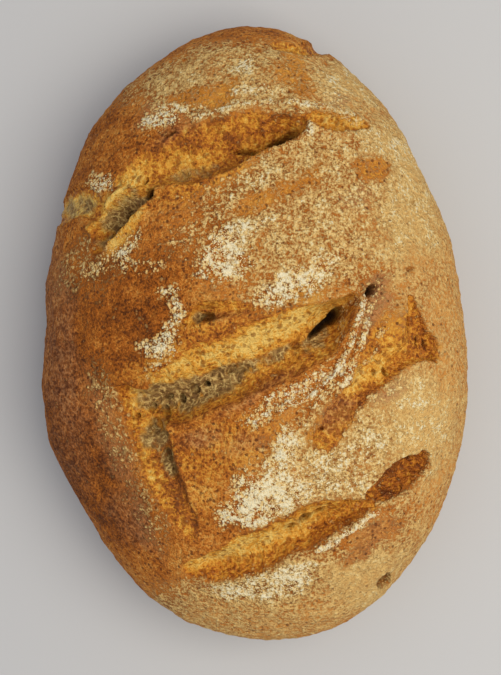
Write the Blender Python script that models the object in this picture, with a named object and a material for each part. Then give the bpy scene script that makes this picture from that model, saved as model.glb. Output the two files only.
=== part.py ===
"""A country loaf: one oval hearth loaf with four torn slashes, as one closed solid.

The loaf lies on its flat base on z = 0, its long axis along Y and its crown up.
Sizes below are in millimetres; the mesh is written in metres.
"""

import math

import bmesh
import bpy
import numpy as np
from mathutils import Vector, noise

MM = 0.001

# Driving sizes of the loaf, in millimetres
LENGTH = 264.0
WIDTH = 184.0
HEIGHT = 92.0
WIDEST_AT = 36.0
CROWN_ACROSS = 2.4
CROWN_UP = 1.9
BELLY_ACROSS = 6.0
BELLY_UP = 2.2
BASE_FLATTENING = 1.10

# Shoulders, each: compass angle of its middle in degrees, and how far it stands out
SHOULDER_SPREAD = 12.0
SHOULDERS = (
    (0, -2.7), (20, -3.0), (45, -7.6), (70, -5.6), (90, 0.4), (108, -2.0), (128, 1.5), (152, -1.8),
    (172, 0.5), (200, 4.8), (226, -1.6), (246, 1.1), (266, -1.2), (284, 3.7), (306, 3.1), (330, 1.0),
)

# The foot that the left flank rises from, between two places along Y: it stands out
# sharply at its near end, and a crease runs above it
FOOT_FROM = -50.0
FOOT_TO = 20.0
FOOT_END = 16.0
FOOT_CREASE_AT = 33.0
FOOT_CREASE_DEEP = 4.2
FOOT_CREASE_TALL = 7.0
FOOT_OUT = 1.5
FOOT_OUT_TO = 13.0

# Tears in the crust. A station is x, y of the deepest line, how far the torn face
# reaches to the left and to the right of the line's direction, and the depth there.
TEARS = {
    "upper slash": (
        (-53, 59, 7, 3, 1.2),
        (-45, 60, 13, 4, 3.5),
        (-37, 62, 17, 5, 5.0),
        (-28, 64, 18, 6, 6.0),
        (-18, 67.5, 17.5, 7, 7.0),
        (-8, 72.5, 15, 6, 8.5),
        (4, 76, 12, 3.6, 10.0),
        (14, 79.5, 9, 2.8, 10.5),
        (19, 82, 4, 2, 4.0),
    ),
    "upper slash, near pocket": (
        (-65.5, 32.5, 2.4, 2.4, 2.0),
        (-62.5, 38, 4.6, 4.4, 5.5),
        (-58, 43.5, 5.4, 5, 7.0),
        (-52.5, 49, 5.4, 4.8, 6.5),
        (-47, 53.5, 4, 3.6, 4.0),
    ),
    "upper slash, far end": (
        (22, 86, 2.5, 2, 1.5),
        (27, 83.2, 5, 2.6, 5.0),
        (36, 82.2, 4.5, 2.4, 4.5),
        (44, 83.6, 2, 1.5, 1.5),
    ),
    "middle slash": (
        (-53, -26, 5, 3, 2.5),
        (-46, -31, 10, 5, 8.5),
        (-38, -30.5, 15, 7.5, 10.5),
        (-28, -27, 17, 8.5, 10.5),
        (-18, -22, 18, 9.5, 10.5),
        (-8, -17.5, 18, 10, 10.0),
        (2, -13, 18, 10.5, 9.5),
        (12, -8, 17, 10.5, 9.5),
        (22, -2, 14.5, 10, 11.0),
        (30, 3.5, 9.5, 8, 13.5),
        (37, 11.5, 3, 2.6, 9.0),
    ),
    "right slash, upper wall": (
        (61.5, 13.5, 1.2, 1.5, 1.0),
        (63.5, 8, 1.6, 5, 2.4),
        (66.8, 1, 1.9, 10, 3.2),
        (69.8, -5, 1.9, 13, 3.2),
        (71.5, -9, 1.2, 4, 1.4),
    ),
    "right slash, lower wall": (
        (26, -43, 4, 5, 1.0),
        (33, -33, 5.5, 5, 2.0),
        (40, -25, 5.5, 4, 2.6),
        (47, -19, 9, 3.4, 3.4),
        (56, -14, 9, 3.0, 3.6),
        (65, -11, 8, 2.6, 3.2),
        (71, -11, 3, 1.4, 1.2),
    ),
    "lower slash": (
        (-25.5, -97, 4.5, 4, 2.5),
        (-19, -97, 9, 5, 6.0),
        (-10, -95.5, 11.5, 5, 6.5),
        (0, -92, 12, 6, 7.0),
        (10, -87.5, 11.5, 4.2, 7.5),
        (20, -83, 12, 3.2, 8.0),
        (28, -78.8, 11.3, 2.8, 8.0),
        (36, -75, 8.3, 2.4, 6.0),
        (46, -71, 3.2, 1.4, 2.0),
    ),
    "lower slash, far end": (
        (47.8, -66, 5, 4, 4.5),
        (52, -63.6, 6.6, 5.2, 6.5),
        (58, -60, 7, 5.4, 7.0),
        (64, -56.2, 6.2, 4.8, 6.5),
        (67.8, -53.4, 4.4, 3.4, 4.5),
    ),
    "left seam": (
        (-26, -81, 4, 2, 0.6),
        (-29, -72, 8, 3, 1.6),
        (-33, -62, 10, 3.5, 2.6),
        (-36, -54, 11, 3.5, 3.4),
        (-38.5, -47, 11, 4, 4.2),
        (-42, -40, 10, 5, 6.0),
        (-47, -33, 8, 6, 6.0),
    ),
    "burst blister": (
        (-26, 3.5, 2.5, 2, 2.0),
        (-20.5, 6, 5, 2.4, 4.5),
        (-12, 9, 4, 2.5, 2.0),
        (-3, 9, 2, 2, 0.6),
    ),
    "left shoulder": (
        (-82, 47, 4, 4, 1.2),
        (-77, 51, 7, 6, 2.2),
        (-71, 52, 7, 6, 2.6),
        (-65, 48, 4, 4, 1.6),
    ),
    "crown fold": (
        (7, 117, 3, 2, 0.8),
        (16, 115.4, 5, 2, 2.2),
        (25, 119, 4.5, 3, 2.2),
        (31, 124, 3.5, 3.5, 1.6),
    ),
}
LIP_HEIGHT = 1.3
LIP_SPREAD = 3.0
SAG_REACH = 1.9
SAG_SHARE = 0.16

# A torn face with a long reach slopes gently and has hardly a lip; a short one is a steep wall
STEEP_CURVE = 2.8
GENTLE_CURVE = 1.35
GENTLE_FROM = 5.0
GENTLE_TO = 11.0

# Open pores and cracks: x, y, half length, half width, angle in degrees, depth
PORES = (
    (-44.0, 54.5, 3.1, 2.3, 70, 6.0),
    (-61.5, 40.0, 4.4, 1.4, 58, 3.0),
    (-56.0, 48.0, 2.6, 1.8, 60, 2.6),
    (-46.6, 60.6, 1.8, 0.9, 60, 2.5),
    (-32.0, 63.0, 3.6, 2.2, 20, 1.2),
    (-22.0, 63.5, 3.4, 2.0, 20, 1.2),
    (-36.0, 79.6, 2.6, 1.1, 30, 3.0),
    (-4.5, 74.0, 7.0, 1.1, 0, 3.5),
    (9.0, 77.6, 8.5, 2.3, 32, 6.0),
    (14.3, 80.6, 3.6, 2.5, 25, 4.5),
    (-21.7, -22.2, 1.3, 1.1, 0, 5.0),
    (-27.1, -24.3, 2.6, 1.9, 140, 3.2),
    (-32.4, -28.7, 2.2, 1.5, 100, 3.4),
    (-38.6, -28.2, 2.4, 1.3, 20, 2.4),
    (-38.6, -34.9, 3.8, 1.6, 130, 3.2),
    (-45.3, -32.5, 2.0, 1.2, 120, 2.4),
    (-50.1, -35.4, 1.3, 1.1, 0, 2.6),
    (-8.0, -15.6, 4.6, 1.9, 12, 2.2),
    (-12.0, -17.0, 1.8, 1.0, 30, 2.4),
    (15.6, -6.2, 2.3, 1.8, 10, 2.6),
    (29.0, 2.6, 9.5, 1.6, 36, 8.0),
    (33.4, 5.8, 4.6, 2.4, 52, 9.0),
    (44.5, 15.6, 3.6, 1.7, 40, 8.0),
    (65.8, -3.9, 2.2, 0.9, 75, 3.0),
    (69.6, -5.3, 1.6, 1.1, 60, 3.0),
    (70.8, -11.0, 2.0, 1.2, 40, 2.0),
    (52.0, -16.8, 2.0, 1.0, 115, 3.0),
    (47.2, -17.0, 1.7, 0.9, 110, 2.5),
    (61.3, 4.0, 6.0, 0.8, 88, 1.6),
    (61.5, 24.6, 1.7, 1.0, 10, 2.5),
    (24.8, -39.0, 1.3, 1.1, 0, 2.5),
    (22.3, -46.0, 1.7, 1.3, 20, 1.8),
    (13.4, -81.0, 2.2, 1.6, 10, 3.4),
    (20.0, -77.2, 3.4, 1.9, 28, 3.6),
    (25.5, -74.6, 2.4, 1.4, 30, 3.0),
    (64.8, -52.6, 2.0, 1.5, 30, 3.5),
    (-42.5, -39.5, 3.2, 3.2, 0, 2.5),
    (-37.0, -50.5, 3.4, 1.6, 110, 2.5),
    (-34.0, -57.5, 3.0, 1.5, 110, 2.0),
    (52.3, -104.0, 3.6, 2.6, 75, 8.0),
    (-20.5, 4.8, 3.2, 2.1, 12, 3.5),
    (64.0, 52.5, 1.2, 1.2, 0, 1.2),
    (-30.0, 110.5, 2.4, 0.9, 20, 1.5),
)

# Dough folds drawn out beside the slashes: height, half width, and x, y along each crest
RIDGES = (
    (1.7, 1.2, ((42, 15), (38, 11), (35.4, -0.4), (31.5, -7.8), (25, -13.4))),
    (2.2, 1.5, ((41.5, 13), (40.2, 6), (38.2, -1.3), (34.5, -10.6), (29.6, -17.2), (21, -25), (8, -32))),
    (1.7, 1.5, ((46, 12), (43.8, 5), (41.6, -3.2), (37.5, -13), (31, -21), (20, -30))),
    (1.1, 1.4, ((51, 3), (47.5, -5), (43, -13))),
    (1.5, 2.2, ((-44, -40), (-33, -38), (-20, -33), (-10, -29), (0, -24.5), (10, -21), (20, -18))),
    (1.0, 1.8, ((-40, 6), (-30, 11), (-22, 13), (-12, 14))),
    (1.5, 1.4, ((-68, 41), (-63, 48), (-57, 54.5), (-50, 60), (-42, 65), (-36, 69))),
    (1.0, 1.3, ((-62, 31.5), (-57.5, 37), (-52, 41.5), (-46, 46.5))),
    (1.4, 1.6, ((22, -86), (30, -81.4), (38, -77), (46.5, -72.8))),
)

# Slow unevenness of the proved dough, the raggedness of torn edges, and torn faces' roughness
RAGGED_WAVES = ((14.0, 1.7), (5.0, 0.7))
DOUGH_WAVES = ((58.0, 1.5), (24.0, 0.55), (11.0, 0.22))
CRUMB_WAVES = ((6.0, 1.0), (3.2, 0.55))

# Fineness of the solid
SPHERE_STEPS = 8
UNDERSIDE_SHARE = 0.24
TRIANGLES = 10800

CRUST_COLOUR = (0.50, 0.26, 0.09, 1.0)
CRUST_ROUGHNESS = 0.75


def clear_scene():
    """Remove every object that the file opened with."""
    for thing in list(bpy.data.objects):
        bpy.data.objects.remove(thing)


def outline_radius(angle):
    """Plan radius of the loaf at each compass angle: an oval with shoulders."""
    half_width, half_length = WIDTH / 2, LENGTH / 2
    radius = half_width * half_length / np.hypot(
        half_length * np.cos(angle), half_width * np.sin(angle)
    )
    for middle, out in SHOULDERS:
        turn = np.angle(np.exp(1j * (angle - math.radians(middle))))
        radius = radius + out * np.exp(-0.5 * (np.degrees(turn) / SHOULDER_SPREAD) ** 2)
    return radius


def loaf_body(directions):
    """Move unit directions to the loaf before it tore: a crown over a belly and a flat base."""
    share = (1 + directions[:, 2]) / 2
    above = share >= UNDERSIDE_SHARE
    rise = np.where(
        above,
        (share - UNDERSIDE_SHARE) / (1 - UNDERSIDE_SHARE),
        (UNDERSIDE_SHARE - share) / UNDERSIDE_SHARE,
    )
    rise = np.clip(rise, 0, 1)
    across = np.sqrt(1 - rise**2)
    crown_height = WIDEST_AT + (HEIGHT - WIDEST_AT) * rise ** (2 / CROWN_UP)
    drop = np.minimum(1, BASE_FLATTENING * rise ** (2 / BELLY_UP))
    height = np.where(above, crown_height, WIDEST_AT * (1 - drop))
    reach = np.where(above, across ** (2 / CROWN_ACROSS), across ** (2 / BELLY_ACROSS))
    angle = np.arctan2(directions[:, 1], directions[:, 0])
    radius = outline_radius(angle) * reach
    return np.stack([radius * np.cos(angle), radius * np.sin(angle), height], axis=1)


def smooth_line(stations, step=1.0):
    """Even samples on a smooth curve through stations, which may carry more than x and y."""
    rows = np.array(stations, float)
    ends = np.vstack([2 * rows[0] - rows[1], rows, 2 * rows[-1] - rows[-2]])
    samples = []
    for a, b, c, d in zip(ends, ends[1:], ends[2:], ends[3:]):
        count = max(2, int(np.hypot(*(c - b)[:2]) / step))
        for t in np.arange(count) / count:
            samples.append(
                0.5 * (2 * b + (c - a) * t + (2 * a - 5 * b + 4 * c - d) * t**2
                       + (3 * b - a - 3 * c + d) * t**3)
            )
    samples.append(rows[-1])
    return np.array(samples)


def beside_line(plan, line):
    """For plan points, the distance to a line, the side (+1 left, -1 right), and its values there."""
    start, run = line[:-1, :2], np.diff(line[:, :2], axis=0)
    best = np.full(len(plan), np.inf)
    side = np.ones(len(plan))
    values = np.zeros((len(plan), line.shape[1]))
    for row, (origin, along) in enumerate(zip(start, run)):
        offset = plan - origin
        t = np.clip(offset @ along / (along @ along), 0, 1)
        gap = offset - t[:, None] * along
        distance = np.hypot(gap[:, 0], gap[:, 1])
        nearer = distance < best
        best[nearer] = distance[nearer]
        turn = along[0] * offset[:, 1] - along[1] * offset[:, 0]
        side[nearer] = np.where(turn[nearer] >= 0, 1, -1)
        values[nearer] = line[row] + t[nearer, None] * (line[row + 1] - line[row])
    return best, side, values


def smoothstep(value):
    """Soft step from 0 to 1 as the value goes from 0 to 1."""
    value = np.clip(value, 0, 1)
    return value * value * (3 - 2 * value)


def tear_relief(plan):
    """Height change and torn share (0 to 1) that the slashes and seams make at plan points."""
    deepest = np.zeros(len(plan))
    lip = np.zeros(len(plan))
    sag = np.zeros(len(plan))
    torn = np.zeros(len(plan))
    for stations in TEARS.values():
        line = smooth_line(stations)
        margin = 2.5 * line[:, 2:4].max()
        near = np.all(
            (plan > line[:, :2].min(0) - margin) & (plan < line[:, :2].max(0) + margin), axis=1
        )
        distance, side, here = beside_line(plan[near], line)
        reach = np.maximum(0.6, np.where(side > 0, here[:, 2], here[:, 3]))
        depth = np.maximum(0, here[:, 4])
        across = distance / reach
        gentle = smoothstep((reach - GENTLE_FROM) / (GENTLE_TO - GENTLE_FROM))
        wall = np.clip(1 - across ** (STEEP_CURVE + gentle * (GENTLE_CURVE - STEEP_CURVE)), 0, 1)
        outside = np.maximum(0, distance - reach)
        edge = np.exp(-((outside / LIP_SPREAD) ** 2)) * np.minimum(1, depth / 5) * (1 - 0.8 * gentle)
        deepest[near] = np.maximum(deepest[near], depth * wall)
        lip[near] = np.maximum(lip[near], LIP_HEIGHT * edge * (across >= 1))
        sag[near] = np.maximum(
            sag[near], SAG_SHARE * depth * np.exp(-((across / SAG_REACH) ** 2))
        )
        torn[near] = np.maximum(torn[near], np.clip((1.04 - across) * 8, 0, 1))
    return (lip - sag) * (1 - torn) - deepest - sag * torn, torn


def pore_relief(plan):
    """Depth of the named pores and cracks at plan points."""
    depth = np.zeros(len(plan))
    for x, y, half_long, half_wide, degrees, deep in PORES:
        turn = math.radians(degrees)
        offset = plan - (x, y)
        along = offset[:, 0] * math.cos(turn) + offset[:, 1] * math.sin(turn)
        aside = offset[:, 1] * math.cos(turn) - offset[:, 0] * math.sin(turn)
        across = np.hypot(along / half_long, aside / half_wide)
        depth = np.maximum(depth, deep * np.clip(1.15 - across**3, 0, 1))
    return depth


def ridge_relief(plan):
    """Height of the drawn-out dough folds at plan points."""
    height = np.zeros(len(plan))
    for tall, half_wide, stations in RIDGES:
        distance, _, _ = beside_line(plan, smooth_line(stations))
        height = np.maximum(height, tall * np.exp(-((distance / half_wide) ** 2)))
    return height


def waves(points, layers, seed):
    """Sum of smooth noise layers, each a wavelength and an amplitude in millimetres."""
    total = np.zeros(len(points))
    for number, (length, amplitude) in enumerate(layers):
        shift = Vector((17.0 * seed, 31.0 * number, 7.0 * seed))
        field = (noise.noise(Vector(p) / length + shift) for p in points)
        total += amplitude * np.fromiter(field, float, len(points))
    return total


def vertex_normals(points, triangles):
    """Area-weighted unit normals of a mesh given as arrays."""
    corners = points[triangles]
    facing = np.cross(corners[:, 1] - corners[:, 0], corners[:, 2] - corners[:, 0])
    normals = np.zeros_like(points)
    for corner in range(3):
        np.add.at(normals, triangles[:, corner], facing)
    return normals / np.maximum(1e-12, np.linalg.norm(normals, axis=1))[:, None]


def foot_relief(points):
    """The foot that the left flank stands on: it stands out, with a crease above it."""
    x, y, z = points.T
    on_left = np.clip((-x - 50) / 15, 0, 1)
    start = np.clip((y - FOOT_FROM) / FOOT_END, 0, 1)
    rise = np.exp(-(((z - FOOT_CREASE_AT) / FOOT_CREASE_TALL) ** 2))
    overhang = 0.75 * np.clip((z - FOOT_CREASE_AT) / FOOT_CREASE_TALL, 0, 1)
    overhang *= np.clip((62 - z) / 20, 0, 1)
    crease = FOOT_CREASE_DEEP * np.clip((FOOT_TO - y) / FOOT_END, 0, 1) * np.maximum(rise, overhang)
    below = np.clip((FOOT_CREASE_AT - z) / FOOT_CREASE_TALL, 0, 1)
    out = FOOT_OUT * np.clip((FOOT_OUT_TO - y) / 3, 0, 1) * below
    return on_left * start * (out - crease)


def shape_loaf(directions, triangles):
    """The loaf's finished surface, in millimetres, for unit directions joined by triangles."""
    body = loaf_body(directions)
    normals = vertex_normals(body, triangles)
    plan = body[:, :2] + np.stack(
        [waves(body, RAGGED_WAVES, seed=3), waves(body, RAGGED_WAVES, seed=4)], axis=1
    )
    crown = np.clip((body[:, 2] - 0.6 * WIDEST_AT) / (0.5 * WIDEST_AT), 0, 1)
    flank = np.clip(body[:, 2] / 10, 0, 1)
    relief, torn = tear_relief(plan)
    pores = pore_relief(body[:, :2])
    ridges = ridge_relief(plan) * (1 - 0.7 * torn)
    crumb = waves(body, CRUMB_WAVES, seed=2) * torn
    shift = crown * (relief + ridges + crumb - pores)
    shift += flank * waves(body, DOUGH_WAVES, seed=1) + foot_relief(body)
    shaped = body + shift[:, None] * normals
    shaped[:, 2] = np.maximum(0, shaped[:, 2])
    return shaped


def crust_material():
    """Baked wheat crust, matt and golden brown."""
    material = bpy.data.materials.new("baked_crust")
    material.use_nodes = True
    shader = material.node_tree.nodes["Principled BSDF"]
    shader.inputs["Base Color"].default_value = CRUST_COLOUR
    shader.inputs["Roughness"].default_value = CRUST_ROUGHNESS
    shader.inputs["Metallic"].default_value = 0.0
    return material


def make_loaf(collection):
    """The loaf: a fine sphere moved onto the loaf's surface, then thinned to an even solid."""
    mesh = bpy.data.meshes.new("loaf")
    sphere = bmesh.new()
    bmesh.ops.create_icosphere(sphere, subdivisions=SPHERE_STEPS, radius=1.0)
    sphere.to_mesh(mesh)
    sphere.free()
    directions = np.empty(len(mesh.vertices) * 3)
    mesh.vertices.foreach_get("co", directions)
    directions = directions.reshape(-1, 3)
    directions /= np.linalg.norm(directions, axis=1)[:, None]
    corners = np.empty(len(mesh.polygons) * 3, np.int32)
    mesh.polygons.foreach_get("vertices", corners)
    shaped = shape_loaf(directions, corners.reshape(-1, 3))
    shaped[:, :2] -= (shaped[:, :2].min(0) + shaped[:, :2].max(0)) / 2
    mesh.vertices.foreach_set("co", (shaped * MM).ravel())
    mesh.update()
    mesh.shade_smooth()
    mesh.materials.append(crust_material())
    loaf = bpy.data.objects.new("loaf", mesh)
    collection.objects.link(loaf)
    thin = loaf.modifiers.new("even triangles", "DECIMATE")
    thin.ratio = TRIANGLES / len(mesh.polygons)
    return loaf


def main():
    clear_scene()
    collection = bpy.data.collections.new("country loaf")
    bpy.context.scene.collection.children.link(collection)
    make_loaf(collection)


main()
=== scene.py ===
"""Country loaf: the looks of an oval hearth loaf, slashed, torn open by its oven spring and floured."""

import math
import bmesh
import bpy
import numpy as np
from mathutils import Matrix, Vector, noise


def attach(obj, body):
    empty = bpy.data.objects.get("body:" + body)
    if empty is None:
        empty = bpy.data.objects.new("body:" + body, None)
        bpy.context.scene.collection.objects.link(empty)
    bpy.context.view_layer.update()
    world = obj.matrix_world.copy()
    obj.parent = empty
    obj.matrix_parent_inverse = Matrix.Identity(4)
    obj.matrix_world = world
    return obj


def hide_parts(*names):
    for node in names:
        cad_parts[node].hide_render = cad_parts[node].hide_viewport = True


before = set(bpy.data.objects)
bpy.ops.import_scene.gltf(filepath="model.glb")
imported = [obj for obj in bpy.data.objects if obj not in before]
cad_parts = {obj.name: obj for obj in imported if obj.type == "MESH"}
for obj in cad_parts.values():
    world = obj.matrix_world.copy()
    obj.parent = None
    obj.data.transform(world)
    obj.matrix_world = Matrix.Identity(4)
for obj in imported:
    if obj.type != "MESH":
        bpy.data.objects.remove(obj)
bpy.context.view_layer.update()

MM = 0.001

# Camera: level above the crown, looking straight down, with the loaf's length upright in the
# picture. Its place in millimetres and its lens were worked out from the loaf's outline.
CAMERA_ABOVE = (-1.0, -1.9, 600.0)
FOCAL_LENGTH = 69.7
SENSOR = 36.0

camera_data = bpy.data.cameras.new("camera")
camera_data.lens = FOCAL_LENGTH
camera_data.sensor_width = SENSOR
camera_data.sensor_fit = "AUTO"
camera_data.clip_start = 0.01
camera = bpy.data.objects.new("camera", camera_data)
camera.location = Vector(CAMERA_ABOVE) * MM
bpy.context.scene.collection.objects.link(camera)
bpy.context.scene.camera = camera


# Loaf, its dough body: one piece of wheat dough, proved in an oval basket, turned out on a
# flat stone and baked. It is an oval dome with a rounded tuck above a flat base. All of its
# surface is first a fine sphere, whose points move to where the dough stands.
LENGTH = 264.0
WIDTH = 184.0
HEIGHT = 92.0
WIDEST_AT = 36.0
CROWN_ACROSS = 2.4
CROWN_UP = 1.9
BELLY_ACROSS = 6.0
BELLY_UP = 2.2
BASE_FLATTENING = 1.10
UNDERSIDE_SHARE = 0.16
SHOULDER_SPREAD = 12.0
SHOULDERS = (  # compass angle in degrees, stands out by
    (0, -2.7), (20, -3.0), (45, -7.6), (70, -5.6), (90, 0.4), (108, -2.0), (128, 1.5), (152, -1.8),
    (172, 0.5), (200, 4.8), (226, -1.6), (246, 1.1), (266, -1.2), (284, 3.7), (306, 3.1), (330, 1.0),
)
DOUGH_WAVES = ((58.0, 1.5), (24.0, 0.55), (11.0, 0.22))
RAGGED_WAVES = ((14.0, 1.7), (5.0, 0.8), (2.4, 0.45))
SPHERE_STEPS = 8


def outline_radius(angle):
    """Plan radius at each compass angle: an oval with shoulders."""
    radius = WIDTH / 2 * LENGTH / 2 / np.hypot(
        LENGTH / 2 * np.cos(angle), WIDTH / 2 * np.sin(angle)
    )
    for middle, out in SHOULDERS:
        turn = np.angle(np.exp(1j * (angle - math.radians(middle))))
        radius = radius + out * np.exp(-0.5 * (np.degrees(turn) / SHOULDER_SPREAD) ** 2)
    return radius


def dough_body(directions):
    """Unit directions moved to the loaf before it tore."""
    share = (1 + directions[:, 2]) / 2
    above = share >= UNDERSIDE_SHARE
    rise = np.where(
        above,
        (share - UNDERSIDE_SHARE) / (1 - UNDERSIDE_SHARE),
        (UNDERSIDE_SHARE - share) / UNDERSIDE_SHARE,
    )
    rise = np.clip(rise, 0, 1)
    across = np.sqrt(1 - rise**2)
    crown_height = WIDEST_AT + (HEIGHT - WIDEST_AT) * rise ** (2 / CROWN_UP)
    drop = np.minimum(1, BASE_FLATTENING * rise ** (2 / BELLY_UP))
    height = np.where(above, crown_height, WIDEST_AT * (1 - drop))
    reach = np.where(above, across ** (2 / CROWN_ACROSS), across ** (2 / BELLY_ACROSS))
    angle = np.arctan2(directions[:, 1], directions[:, 0])
    radius = outline_radius(angle) * reach
    return np.stack([radius * np.cos(angle), radius * np.sin(angle), height], axis=1)


def smoothstep(value):
    """Soft step from 0 to 1 as the value goes from 0 to 1."""
    value = np.clip(value, 0, 1)
    return value * value * (3 - 2 * value)


def waves(points, layers, seed):
    """Sum of smooth noise layers, each a wavelength and an amplitude."""
    total = np.zeros(len(points))
    for number, (length, amplitude) in enumerate(layers):
        shift = Vector((17.0 * seed, 31.0 * number, 7.0 * seed))
        field = (noise.noise(Vector(p) / length + shift) for p in points)
        total += amplitude * np.fromiter(field, float, len(points))
    return total


def surface_normals(points, triangles):
    """Unit normals of a mesh given as arrays."""
    corners = points[triangles]
    facing = np.cross(corners[:, 1] - corners[:, 0], corners[:, 2] - corners[:, 0])
    normals = np.zeros_like(points)
    for corner in range(3):
        np.add.at(normals, triangles[:, corner], facing)
    return normals / np.maximum(1e-12, np.linalg.norm(normals, axis=1))[:, None]


# Slashes and seams: cut with a blade before baking, then torn wider as the loaf sprang in the
# oven. Each is a line with a long torn face on one side and a short steep wall on the other.
# A station is x, y, the reach to the left and right of the line's direction, and the depth.
TEARS = {
    "upper slash": (
        (-53, 59, 7, 3, 1.2),
        (-45, 60, 13, 4, 3.5),
        (-37, 62, 17, 5, 5.0),
        (-28, 64, 18, 6, 6.0),
        (-18, 67.5, 17.5, 7, 7.0),
        (-8, 72.5, 15, 6, 8.5),
        (4, 76, 12, 3.6, 10.0),
        (14, 79.5, 9, 2.8, 10.5),
        (19, 82, 4, 2, 4.0),
    ),
    "upper slash, near pocket": (
        (-65.5, 32.5, 2.4, 2.4, 2.0),
        (-62.5, 38, 4.6, 4.4, 5.5),
        (-58, 43.5, 5.4, 5, 7.0),
        (-52.5, 49, 5.4, 4.8, 6.5),
        (-47, 53.5, 4, 3.6, 4.0),
    ),
    "upper slash, far end": (
        (22, 86, 2.5, 2, 1.5),
        (27, 83.2, 5, 2.6, 5.0),
        (36, 82.2, 4.5, 2.4, 4.5),
        (44, 83.6, 2, 1.5, 1.5),
    ),
    "middle slash": (
        (-53, -26, 5, 3, 2.5),
        (-46, -31, 10, 5, 8.5),
        (-38, -30.5, 15, 7.5, 10.5),
        (-28, -27, 17, 8.5, 10.5),
        (-18, -22, 18, 9.5, 10.5),
        (-8, -17.5, 18, 10, 10.0),
        (2, -13, 18, 10.5, 9.5),
        (12, -8, 17, 10.5, 9.5),
        (22, -2, 14.5, 10, 11.0),
        (30, 3.5, 9.5, 8, 13.5),
        (37, 11.5, 3, 2.6, 9.0),
    ),
    "right slash, upper wall": (
        (61.5, 13.5, 1.2, 1.5, 1.0),
        (63.5, 8, 1.6, 5, 2.4),
        (66.8, 1, 1.9, 10, 3.2),
        (69.8, -5, 1.9, 13, 3.2),
        (71.5, -9, 1.2, 4, 1.4),
    ),
    "right slash, lower wall": (
        (26, -43, 4, 5, 1.0),
        (33, -33, 5.5, 5, 2.0),
        (40, -25, 5.5, 4, 2.6),
        (47, -19, 9, 3.4, 3.4),
        (56, -14, 9, 3.0, 3.6),
        (65, -11, 8, 2.6, 3.2),
        (71, -11, 3, 1.4, 1.2),
    ),
    "lower slash": (
        (-25.5, -97, 4.5, 4, 2.5),
        (-19, -97, 9, 5, 6.0),
        (-10, -95.5, 11.5, 5, 6.5),
        (0, -92, 12, 6, 7.0),
        (10, -87.5, 11.5, 4.2, 7.5),
        (20, -83, 12, 3.2, 8.0),
        (28, -78.8, 11.3, 2.8, 8.0),
        (36, -75, 8.3, 2.4, 6.0),
        (46, -71, 3.2, 1.4, 2.0),
    ),
    "lower slash, far end": (
        (47.8, -66, 5, 4, 4.5),
        (52, -63.6, 6.6, 5.2, 6.5),
        (58, -60, 7, 5.4, 7.0),
        (64, -56.2, 6.2, 4.8, 6.5),
        (67.8, -53.4, 4.4, 3.4, 4.5),
    ),
    "left seam": (
        (-26, -81, 4, 2, 0.6),
        (-29, -72, 8, 3, 1.6),
        (-33, -62, 10, 3.5, 2.6),
        (-36, -54, 11, 3.5, 3.4),
        (-38.5, -47, 11, 4, 4.2),
        (-42, -40, 10, 5, 6.0),
        (-47, -33, 8, 6, 6.0),
    ),
    "burst blister": (
        (-26, 3.5, 2.5, 2, 2.0),
        (-20.5, 6, 5, 2.4, 4.5),
        (-12, 9, 4, 2.5, 2.0),
        (-3, 9, 2, 2, 0.6),
    ),
    "left shoulder": (
        (-82, 47, 4, 4, 1.2),
        (-77, 51, 7, 6, 2.2),
        (-71, 52, 7, 6, 2.6),
        (-65, 48, 4, 4, 1.6),
    ),
    "crown fold": (
        (7, 117, 3, 2, 0.8),
        (16, 115.4, 5, 2, 2.2),
        (25, 119, 4.5, 3, 2.2),
        (31, 124, 3.5, 3.5, 1.6),
    ),
}
LIP_HEIGHT = 1.3
LIP_SPREAD = 3.0
STEEP_CURVE = 2.8
GENTLE_CURVE = 1.35
GENTLE_FROM = 5.0
GENTLE_TO = 11.0
SAG_REACH = 1.9
SAG_SHARE = 0.16
STRETCH_ALONG = 2.3
STRETCH_ACROSS = 9.0
STRETCH_DEEP = 0.8
LEAST_REACH = 0.6
NEAR_REACHES = 2.5
FULL_LIP_DEPTH = 5.0
LIP_LOSS = 0.8
TORN_EDGE = 1.06
TORN_EDGE_STEEPNESS = 6.0
FULL_STRETCH_DEPTH = 6.0


def smooth_line(stations, step=1.0):
    """Even samples on a smooth curve through stations, with its length so far as a last column."""
    rows = np.array(stations, float)
    ends = np.vstack([2 * rows[0] - rows[1], rows, 2 * rows[-1] - rows[-2]])
    samples = []
    for a, b, c, d in zip(ends, ends[1:], ends[2:], ends[3:]):
        count = max(2, int(np.hypot(*(c - b)[:2]) / step))
        for t in np.arange(count) / count:
            samples.append(
                0.5 * (2 * b + (c - a) * t + (2 * a - 5 * b + 4 * c - d) * t**2
                       + (3 * b - a - 3 * c + d) * t**3)
            )
    samples.append(rows[-1])
    samples = np.array(samples)
    run = np.hypot(*np.diff(samples[:, :2], axis=0).T)
    return np.column_stack([samples, np.append(0, np.cumsum(run))])


def beside_line(plan, line):
    """Distance of plan points to a line, their side of it (+1 left), and its values there."""
    best = np.full(len(plan), np.inf)
    side = np.ones(len(plan))
    values = np.zeros((len(plan), line.shape[1]))
    for start, end in zip(line, line[1:]):
        along = end[:2] - start[:2]
        offset = plan - start[:2]
        t = np.clip(offset @ along / (along @ along), 0, 1)
        gap = offset - t[:, None] * along
        distance = np.hypot(gap[:, 0], gap[:, 1])
        nearer = distance < best
        best[nearer] = distance[nearer]
        turn = along[0] * offset[:, 1] - along[1] * offset[:, 0]
        side[nearer] = np.where(turn[nearer] >= 0, 1, -1)
        values[nearer] = start + t[nearer, None] * (end - start)
    return best, side, values


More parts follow.
